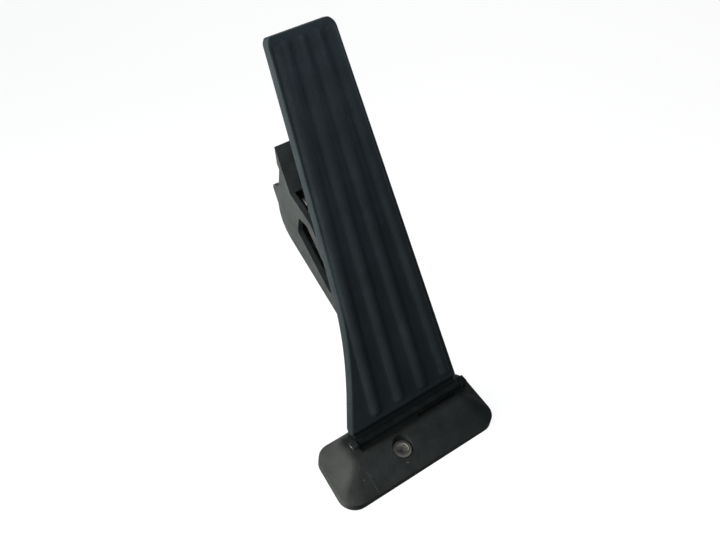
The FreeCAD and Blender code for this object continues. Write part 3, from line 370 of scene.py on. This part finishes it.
def new_piece(name, points, faces, material, crease=CREASE):
    """A mesh object from points in metres, smooth but for edges above an angle in degrees."""
    mesh = bpy.data.meshes.new(name)
    mesh.from_pydata(np.asarray(points).reshape(-1, 3).tolist(), [], faces)
    mesh.polygons.foreach_set("use_smooth", np.ones(len(mesh.polygons), bool))
    mesh.set_sharp_from_angle(angle=math.radians(crease))
    mesh.materials.append(material)
    mesh.validate()
    piece = bpy.data.objects.new(name, mesh)
    bpy.context.scene.collection.objects.link(piece)
    return piece


def rib_across(index, up):
    """Middle of a rib at a height: a straight line from its low place to its high one."""
    low = RIB_LOW_FIRST + index * RIB_LOW_PITCH
    high = RIB_HIGH_FIRST + index * RIB_HIGH_PITCH
    return low + (high - low) * (up - RIB_LOW) / (RIB_HIGH - RIB_LOW)


def corner_step(up, radius):
    """How far a rounded top corner draws the edge in: the radius less the arc's half chord."""
    reach = np.clip(up - (TOP - radius), 0, radius)
    return radius - np.sqrt(radius ** 2 - reach ** 2)


def left_edge(up):
    """Left edge of the face: two straight lines, joined by a parabola near a wide arc at the flare."""
    flare = (LEFT_FLARE - LEFT_FOOT) / (FLARE - FOOT)
    upper = (LEFT_TOP - LEFT_FLARE) / (TOP - FLARE)
    line = LEFT_FLARE + (up - FLARE) * np.where(up < FLARE, flare, upper)
    reach = FLARE_ROUND * math.tan((math.atan(flare) - math.atan(upper)) / 2)
    easing = np.clip(reach - abs(up - FLARE), 0, None) ** 2 / (2 * FLARE_ROUND)
    return line - easing + corner_step(up, LEFT_CORNER)


def right_edge(up):
    """Right edge of the face: a straight line with a rounded top corner."""
    slope = (RIGHT_FOOT - RIGHT_TOP) / (TOP - FOOT)
    return RIGHT_TOP + (TOP - up) * slope - corner_step(up, RIGHT_CORNER)


def rib_relief(across, up):
    """Height of the ribs over the face: arcs of a circle across, drawn in by a quarter round at the ends.

    Where an arc meets the face, a parabola as wide as the fillet runs it out."""
    radius = (RIB_HALF ** 2 + RIB_HEIGHT ** 2) / (2 * RIB_HEIGHT)
    relief = np.zeros_like(across)
    for index in range(RIBS):
        aside = abs(across - rib_across(index, up))
        past = np.clip(np.maximum(RIB_LOW - up, up - RIB_HIGH) - (radius - RIB_END), 0, RIB_END)
        girth = radius - RIB_END + np.sqrt(RIB_END ** 2 - past ** 2)
        height = RIB_HEIGHT - radius + np.sqrt(np.clip(girth ** 2 - aside ** 2, 0, None))
        blend = np.clip(RIB_FILLET - abs(height), 0, None) ** 2 / (4 * RIB_FILLET)
        relief += np.clip(height, 0, None) + blend
    return relief


def eased(count):
    """Shares from 0 to 1 without the 0, closer together at both ends by a cosine."""
    return ((1 - np.cos(np.linspace(0, math.pi, count))) / 2)[1:]


# The face is a grid: rows crowd at the ribs' ends, and columns follow the ribs and the flats between them.
body_low = RIB_LOW + END_ZONE
body_high = RIB_HIGH - END_ZONE
foot_ups = np.linspace(FOOT + EDGE, body_low, FOOT_ROWS)
body_ups = np.linspace(body_low, body_high, BODY_ROWS)[1:]
top_ups = body_high + (TOP - EDGE - body_high) * np.sin(np.linspace(0, math.pi / 2, TOP_ROWS))[1:]
ups = np.concatenate([foot_ups, body_ups, top_ups])
face_left = left_edge(ups) + EDGE
face_right = right_edge(ups) - EDGE
stops = [face_left]
for index in range(RIBS):
    stops += [rib_across(index, ups) - RIB_HALF, rib_across(index, ups) + RIB_HALF]
stops.append(face_right)
room = (face_right - face_left) * COLUMN_LEAST
gaps = len(stops) - 1
for index in range(1, gaps):
    stops[index] = np.clip(stops[index], face_left + index * room, face_right - (gaps - index) * room)
columns = [face_left[:, None]]
for index in range(gaps):
    shares = eased(RIB_COLUMNS if index % 2 else FLAT_COLUMNS)
    columns.append(stops[index][:, None] + (stops[index + 1] - stops[index])[:, None] * shares)
across = np.concatenate(columns, axis=1)
up = np.repeat(ups[:, None], across.shape[1], axis=1)
face = np.stack([across, up, rib_relief(across, up)], axis=-1)
rows, width = across.shape

# The rim runs along the foot, up the right edge, back along the top and down the left edge.
# Each of its points has a way outward: the mean heading of its two sides, turned by a right angle.
numbers = np.arange(rows * width).reshape(rows, width)
rim_numbers = np.concatenate([numbers[0], numbers[1:, -1], numbers[-1, -2::-1], numbers[-2:0:-1, 0]])
rim = face.reshape(-1, 3)[rim_numbers]
ahead = np.roll(rim, -1, axis=0)[:, :2] - rim[:, :2]
ahead /= np.linalg.norm(ahead, axis=1)[:, None]
heading = ahead + np.roll(ahead, 1, axis=0)
heading /= np.linalg.norm(heading, axis=1)[:, None]
mitre = 1 / np.clip((heading * ahead).sum(axis=1), MITRE_LEAST, None)
outward = np.stack([heading[:, 1], -heading[:, 0]], axis=-1) * mitre[:, None]

# Loops of the rim's points roll over the edge, go down the skirt and come up inside it.
# Profiles are (outward, out) on the sides and (up, out) along the foot.
roll = np.linspace(0, math.pi / 2, EDGE_STEPS)[1:]
side_profile = [(EDGE * math.sin(t), EDGE * (math.cos(t) - 1)) for t in roll] + [
    (EDGE, -SKIRT / 2),
    (EDGE, SKIRT_LIP - SKIRT),
    (EDGE - SKIRT_BREAK, SKIRT_BREAK - SKIRT),
    (EDGE - SKIRT_LIP, -SKIRT),
    (EDGE - SKIRT_WALL + SKIRT_INNER, -SKIRT),
    (EDGE - SKIRT_WALL, SKIRT_INNER - SKIRT),
    (EDGE - SKIRT_WALL, -THICKNESS),
]
inner_foot = SKIRT_FOOT + SKIRT_WALL
foot_profile = [
    (FOOT + EDGE - FOOT_REACH * EDGE * math.sin(t), FOOT_DROP * EDGE * (math.cos(t) - 1)) for t in roll
] + FOOT_LIP + [
    (SKIRT_FOOT, -SKIRT),
    (inner_foot, -SKIRT),
    (inner_foot, -THICKNESS),
]
on_foot = np.zeros(len(rim), bool)
on_foot[1:width - 1] = True
deepest = -THICKNESS - np.clip((rim[:, 1] - FOOT) / (SKIRT_FOOT - FOOT), 0, 1) * (SKIRT - THICKNESS)
inner_left = left_edge(inner_foot) + SKIRT_WALL
inner_right = right_edge(inner_foot) - SKIRT_WALL
loops = []
for (offset, depth), (foot_up, foot_depth) in zip(side_profile, foot_profile):
    loop = np.concatenate([rim[:, :2] + offset * outward, np.maximum(depth, deepest)[:, None]], axis=1)
    loop[on_foot, 1] = foot_up
    loop[on_foot, 2] = foot_depth
    if offset < 0:
        below = loop[:, 1] <= inner_foot
        loop[below, 0] = np.clip(loop[below, 0], inner_left, inner_right)
        loop[below, 1] = inner_foot
    loops.append(loop)
plate_points = np.concatenate([face.reshape(-1, 3)] + loops)
plate_faces = grid_faces(rows, width)
count = len(rim)
outer = rim_numbers
for level in range(len(loops)):
    inner = rows * width + level * count + np.arange(count)
    plate_faces += np.stack([outer, inner, np.roll(inner, -1), np.roll(outer, -1)], axis=-1).tolist()
    outer = inner

# The back is closed by strips from the left edge to the right one.
foot_end, right_end, top_end = np.cumsum([width, rows - 1, width - 1])
foot_side = outer[:foot_end].tolist()
right_side = outer[foot_end - 1:right_end].tolist()
top_side = outer[right_end - 1:top_end].tolist()
left_side = outer[[0] + list(range(count - 1, top_end - 2, -1))].tolist()
plate_faces.append([left_side[1], right_side[1]] + foot_side[::-1])
plate_faces.append([left_side[-2]] + top_side[::-1] + [right_side[-2]])
plate_faces += [
    [left_side[row], left_side[row + 1], right_side[row + 1], right_side[row]]
    for row in range(1, rows - 2)
]

# Moulded polypropylene looks blue black and satin, with a fine even grain and painted shade near the hinge.
plate_plastic = finish("polypropylene_moulded", ("#1e2325", "#24292b"), gloss=(0.46, 0.58),
                       grain=(1.0, 0.25), sheen=MOULDED_SHEEN, marks=hinge_shade)
plate = new_piece("plate_moulding", in_world(plate_points), plate_faces, plate_plastic)
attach(plate, "pedal")
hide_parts("pedal_plate")

# Hinge barrel: the tube along the foot of the plate, turning on the pin between the ears.
# It is part of the polypropylene moulding, drawn nearly black as painted shade of the trough under the
# plate.

BARREL_LEFT = -20.0
BARREL_RIGHT = 47.8
BARREL_RADIUS = 2.0
BARREL_BORE = 1.15
BARREL_ROUND = 0.3
SEGMENTS = 40


def lathe(profile, y, z):
    """A closed (along, radius) profile turned about an axis along X: radius times cosine and sine."""
    along, radius = np.array(profile + profile[:1]).T[:, :, None]
    angle = np.linspace(0, 2 * math.pi, SEGMENTS, endpoint=False)
    axes = np.broadcast_arrays(along, y + radius * np.cos(angle), z + radius * np.sin(angle))
    return np.stack(axes, axis=-1) * MM, grid_faces(len(along), SEGMENTS, wrap=True)


barrel_points, barrel_faces = lathe([
    (BARREL_LEFT, BARREL_BORE),
    (BARREL_LEFT, BARREL_RADIUS - BARREL_ROUND),
    (BARREL_LEFT + BARREL_ROUND, BARREL_RADIUS),
    (BARREL_RIGHT - BARREL_ROUND, BARREL_RADIUS),
    (BARREL_RIGHT, BARREL_RADIUS - BARREL_ROUND),
    (BARREL_RIGHT, BARREL_BORE),
], HINGE_Y, HINGE_Z)
# Painted shade makes the moulding nearly black, and it is quite dull.
painted_shade_plastic = finish("polypropylene_moulded_painted_shade", ("#0f1314", "#1a1e1f"), gloss=(0.62, 0.75),
                       grain=(1.0, 0.25), cloud=5, sheen=MOULDED_SHEEN)
barrel = new_piece("plate_barrel", barrel_points, barrel_faces, painted_shade_plastic)
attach(barrel, "pedal")

# Stiffeners: five bars behind the face that run from one side of the skirt to the other.
# They are part of the polypropylene moulding, one below the slide pad and four above it.

STIFFENER = 1.8
STIFFENER_ROUND = 0.4
STIFFENER_STEPS = 4
STIFFENER_BELOW_PAD = 65.35
STIFFENER_ABOVE_PAD = 80.89
STIFFENERS_ABOVE = 4
STIFFENER_CREASE = 60


def rounded_bar(low, high):
    """A box with rounded edges: a small ball's points by lean and spin, each moved to its own corner."""
    quarter = np.linspace(0, math.pi / 2, STIFFENER_STEPS)
    low = np.array(low)
    high = np.array(high)
    lean = np.concatenate([quarter - math.pi / 2, quarter])[:, None]
    spin = np.concatenate([quarter + turns * math.pi / 2 for turns in range(4)])[None]
    ball = [np.sin(lean), np.cos(lean) * np.cos(spin), np.cos(lean) * np.sin(spin)]
    corner = [
        np.repeat([-1, 1], STIFFENER_STEPS)[:, None],
        np.repeat([1, -1, -1, 1], STIFFENER_STEPS)[None],
        np.repeat([1, 1, -1, -1], STIFFENER_STEPS)[None],
    ]
    ball = np.stack(np.broadcast_arrays(*ball), axis=-1)
    corner = np.stack(np.broadcast_arrays(*corner), axis=-1)
    points = (low + high) / 2 + corner * ((high - low) / 2 - STIFFENER_ROUND) + ball * STIFFENER_ROUND
    rings, spokes = points.shape[:2]
    last = (rings - 1) * spokes
    ends = [list(range(spokes)), list(range(last, last + spokes))[::-1]]
    return points, grid_faces(rings, spokes, wrap=True) + ends


pitch = (TOP - STIFFENER_ABOVE_PAD) / STIFFENERS_ABOVE
heights = [STIFFENER_BELOW_PAD] + [STIFFENER_ABOVE_PAD + index * pitch for index in range(STIFFENERS_ABOVE)]
for height in heights:
    middle = height - STIFFENER / 2
    bar_low = (left_edge(middle) + SKIRT_WALL / 2, height - STIFFENER, -SKIRT)
    bar_high = (right_edge(middle) - SKIRT_WALL / 2, height, -THICKNESS + STIFFENER_ROUND)
    bar_points, bar_faces = rounded_bar(bar_low, bar_high)
    bar = new_piece("plate_stiffener", in_world(bar_points), bar_faces, plate_plastic, STIFFENER_CREASE)
    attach(bar, "pedal")

# Slide pad: the runner on the back of the plate that the lever's nose slides along.
# Natural acetal, moulded with a curve that keeps an even gap to the nose, and fixed behind the face.

# Natural acetal looks creamy white and smooth, polished by the sliding.
acetal = finish("acetal_moulded", ("#c9c6ba", "#d6d3c8"), gloss=(0.25, 0.4), grain=(0.9, 0.012), cloud=6)
dress("slide_pad", acetal)

# Lever and nose cap: the arm that the plate pushes down, and the slippery cap on its nose.
# The arm is glass filled polyester with recessed sides; the cap is black acetal, clipped on.

FINE_BEVEL = 0.15
COVER_BEVEL = 0.3
# Moulded polyester looks black and satin, with an even fine grain.
black_polyester = finish("glass_filled_polyester_moulded", ("#141617", "#1b1d1e"), gloss=(0.4, 0.5),
                         grain=(0.9, 0.15))
dress("lever_arm", black_polyester, COVER_BEVEL)
# Black acetal looks smoother and glossier than the polyester.
dark_acetal = finish("black_acetal_moulded", ("#17191a", "#202223"), gloss=(0.25, 0.38), grain=(0.9, 0.012),
                     cloud=6)
dress("nose_cap", dark_acetal, FINE_BEVEL)

# Lever shaft and its bushes: the axle of the lever and the two flanged bearings that hold it.
# The shaft is ground steel; the bushes are black acetal, pressed into the walls of the housing.

# Ground steel looks bright, with tight reflections.
ground_steel = finish("ground_steel", ("#8b8b88", "#a8a7a3"), gloss=(0.18, 0.3), grain=(0.8, 0.008),
                      cloud=4, metal=1.0)
dress("lever_shaft", ground_steel)
dress("bush_left", dark_acetal)
dress("bush_right", dark_acetal)

# Return springs: two torsion springs round the shaft, either of which brings the pedal back.
# Hard drawn wire, coiled and oiled, with one leg on the lever's peg and one on the channel's floor.

# Oiled wire looks dark grey with long bright highlights.
spring_wire = finish("oiled_spring_wire", ("#5d5d5b", "#787773"), gloss=(0.22, 0.4), grain=(0.8, 0.012),
                     cloud=2, metal=1.0)
dress("return_spring_left", spring_wire)
dress("return_spring_right", spring_wire)

# End stop bumper: the button on the housing that the plate comes down on.
# Moulded rubber, fixed on the sloping roof of the housing.

BUMPER_BEVEL = 0.4
# Moulded rubber looks deep black and dull.
bumper_rubber = finish("rubber_moulded", ("#0e0f0f", "#161717"), gloss=(0.6, 0.75), grain=(0.9, 0.12))
dress("end_stop_bumper", bumper_rubber, BUMPER_BEVEL)

# Magnet and its holder: they turn with the shaft in front of the sensors.
# The holder is black polyester, pushed onto the shaft; the magnet is ferrite, pressed and sintered.

MAGNET_BEVEL = 0.2
# Pressed ferrite looks like dark grey stone, slightly rough.
ferrite = finish("pressed_ferrite", ("#2c2b2d", "#3a383a"), gloss=(0.45, 0.6), grain=(0.7, 0.04), cloud=2)
dress("magnet_holder", black_polyester)
dress("sensor_magnet", ferrite, MAGNET_BEVEL)

# Sensor board: the circuit board with two Hall sensors and a row of capacitors.
# Glass laminate under green lacquer, with epoxy packages and ceramic blocks soldered on.

CAPACITOR_BEVEL = 0.1
# Lacquer looks deep green and glossy over the weave of the glass.
laminate = finish("lacquered_board_laminate", ("#0e3b23", "#134a2c"), gloss=(0.25, 0.4), grain=(0.8, 0.012),
                  cloud=5)
# Package epoxy looks black and matt, as it comes from the mould.
package_epoxy = finish("package_epoxy", ("#151515", "#1e1e1f"), gloss=(0.45, 0.6), grain=(0.5, 0.02),
                       cloud=2)
# Fired ceramic looks tan and slightly waxy.
ceramic = finish("fired_ceramic", ("#8d7253", "#a58762"), gloss=(0.35, 0.5), grain=(0.5, 0.01), cloud=1)
dress("sensor_board", laminate)
dress("hall_sensors", package_epoxy, FINE_BEVEL)
dress("board_capacitors", ceramic, CAPACITOR_BEVEL)

# Cover seal: the ring that keeps water out of the sensor chamber.
# Moulded silicone, squeezed between the cover and the step in the chamber's rim.

# Silicone looks brick red and dull, like soft rubber.
silicone = finish("silicone_moulded", ("#6b3326", "#7d3d2d"), gloss=(0.5, 0.65), grain=(0.9, 0.06), cloud=5)
dress("cover_seal", silicone)

# Sensor cover: the lid of the chamber, with the shell of the connector on it.
# The same black polyester as the lever, moulded in one piece and held by screws.

dress("sensor_cover", black_polyester, COVER_BEVEL)

# Terminal pins and cover screws: the contacts in the connector and the screws of the cover.
# The pins are square brass wire, tinned and set through the cover; the screws are zinc plated steel.

SCREW_BEVEL = 0.2
# Tinned brass looks pale gold and bright.
tinned_brass = finish("tinned_brass", ("#b3a678", "#c9bd92"), gloss=(0.2, 0.35), grain=(0.6, 0.008),
                      cloud=2, metal=1.0)
# Zinc plate looks cool silver, with a slightly cloudy shine.
zinc_plate = finish("zinc_plated_steel", ("#a9abac", "#c3c4c3"), gloss=(0.28, 0.42), grain=(0.7, 0.015),
                    cloud=2, metal=1.0)
dress("terminal_pins", tinned_brass)
dress("cover_screws", zinc_plate, SCREW_BEVEL)

# Floor: a wide sheet of studio paper, lifted to white for rays that see it as the backdrop.
# It keeps the object's shadow, and stays dark inside the sleeve's bore.

FLOOR_HALF = 3.0
FLOOR_COLOUR = "#6c6c6c"
FLOOR_ROUGHNESS = 0.9
FLOOR_GLOW = 0.9
SLEEVE_SHADE = 8
WHITE = "#ffffff"


def backdrop_rays(tree):
    """Share of rays that show the white backdrop: the largest of camera, glossy and transmission."""
    path = add_node(tree, "LightPath")
    sockets = {0: path["Is Camera Ray"], 1: path["Is Glossy Ray"]}
    either = add_node(tree, "Math", sockets, operation="MAXIMUM")[0]
    return add_node(tree, "Math", {0: either, 1: path["Is Transmission Ray"]}, operation="MAXIMUM")[0]


floor_mesh = bpy.data.meshes.new("studio_floor")
floor_mesh.from_pydata([(-1, -1, 0), (1, -1, 0), (1, 1, 0), (-1, 1, 0)], [], [(0, 1, 2, 3)])
floor_mesh.transform(Matrix.Scale(FLOOR_HALF, 4))
floor = bpy.data.objects.new("studio_floor", floor_mesh)
bpy.context.scene.collection.objects.link(floor)
# Paper looks plain and pale, with no shine.
paper, paper_tree, paper_shader, paper_place = new_material("white_studio_paper")
paper_shader.inputs["Base Color"].default_value = to_linear(FLOOR_COLOUR)
paper_shader.inputs["Roughness"].default_value = FLOOR_ROUGHNESS
from_sleeve = add_node(paper_tree, "VectorMath", {0: paper_place}, operation="LENGTH")["Value"]
sockets = {0: from_sleeve, 1: SLEEVE_SHADE * MM}
open_floor = add_node(paper_tree, "Math", sockets, operation="GREATER_THAN")[0]
sockets = {0: backdrop_rays(paper_tree), 1: open_floor}
lifted = add_node(paper_tree, "Math", sockets, operation="MULTIPLY")[0]
glow = add_node(paper_tree, "Math", {0: lifted, 1: FLOOR_GLOW}, operation="MULTIPLY")[0]
lift = add_node(paper_tree, "Emission", {"Color": to_linear(WHITE), "Strength": glow})["Emission"]
paper_look = add_node(paper_tree, "AddShader", {0: paper_shader.outputs["BSDF"], 1: lift})["Shader"]
paper_tree.links.new(paper_look, paper_tree.nodes["Material Output"].inputs["Surface"])
floor_mesh.materials.append(paper)

# Light: a white backdrop, a dim sky that brightens upwards and five soft boxes.
# The left ones draw the ribs and the hip of the foot, and the others fill the right side.

SKY_COLOUR = "#dce8f2"
SKY_LOW = 0.02
SKY_HIGH = 0.15
SKY_TOP = 0.7


def lamp(name, spot, aim, side, power, beam, colour):
    """A square soft box at a place in metres, turned to a point, with a beam in degrees."""
    light = bpy.data.lights.new(name, "AREA")
    light.shape = "SQUARE"
    light.size = side
    light.energy = power
    light.spread = math.radians(beam)
    light.color = to_linear(colour)[:3]
    box = bpy.data.objects.new(name, light)
    box.location = spot
    box.rotation_euler = (Vector(aim) - Vector(spot)).to_track_quat("-Z", "Y").to_euler()
    box.visible_camera = False
    bpy.context.scene.collection.objects.link(box)


world = bpy.data.worlds.new("studio")
world.use_nodes = True
sky = world.node_tree
dim = sky.nodes["Background"]
dim.inputs["Color"].default_value = to_linear(SKY_COLOUR)
way = add_node(sky, "TexCoord")["Generated"]
rise = add_node(sky, "SeparateXYZ", {"Vector": way})["Z"]
ends = {"From Min": 0, "From Max": SKY_TOP, "To Min": SKY_LOW, "To Max": SKY_HIGH}
sky.links.new(add_node(sky, "MapRange", {"Value": rise, **ends})["Result"], dim.inputs["Strength"])
backdrop = add_node(sky, "Background", {"Color": to_linear(WHITE), "Strength": 1.0})["Background"]
sockets = {0: backdrop_rays(sky), 1: dim.outputs["Background"], 2: backdrop}
sky.links.new(add_node(sky, "MixShader", sockets)["Shader"], sky.nodes["World Output"].inputs["Surface"])
bpy.context.scene.world = world
bpy.context.scene.view_settings.view_transform = "Standard"
lamp("window_back_left", spot=(-0.32, 0.36, 0.14), aim=(0, 0.13, 0.13), side=0.15, power=0.66, beam=50,
     colour="#f6f8f6")
lamp("window_left", spot=(-0.60, 0.00, 0.18), aim=(0, 0.00, 0.02), side=0.4, power=0.70, beam=50,
     colour="#fff8ee")
lamp("ceiling_right", spot=(0.30, 0.05, 0.35), aim=(0.02, 0.16, 0.24), side=0.15, power=0.22, beam=50,
     colour="#e0ecf8")
lamp("sky_front_left", spot=(-0.27, -0.10, 0.43), aim=(0, 0.11, 0.10), side=0.3, power=0.47, beam=80,
     colour="#dbe5ee")
lamp("fill_back_right", spot=(0.50, 0.45, 0.40), aim=(0, 0.08, 0.06), side=0.4, power=0.10, beam=60,
     colour="#f0f4f8")

# Camera: it stands where the photograph was taken from, above the foot and to its left.
# Its place is in metres, and its three directions are those of the picture.

FOCAL = 50
SENSOR = 36
NEAREST = 0.01
CAMERA_SPOT = (-0.2069, -0.1791, 0.4470)
PICTURE_RIGHT = Vector((0.79794707, -0.59690208, 0.08359657))
PICTURE_DOWN = Vector((-0.40566024, -0.63444141, -0.6579695))
PICTURE_IN = Vector((0.44578049, 0.49111304, -0.7483901))
lens = bpy.data.cameras.new("camera")
lens.lens = FOCAL
lens.sensor_width = SENSOR
lens.clip_start = NEAREST
camera = bpy.data.objects.new("camera", lens)
stance = Matrix((PICTURE_RIGHT, -PICTURE_DOWN, -PICTURE_IN)).transposed().to_4x4()
camera.matrix_world = Matrix.Translation(CAMERA_SPOT) @ stance
bpy.context.scene.collection.objects.link(camera)
bpy.context.scene.camera = camera
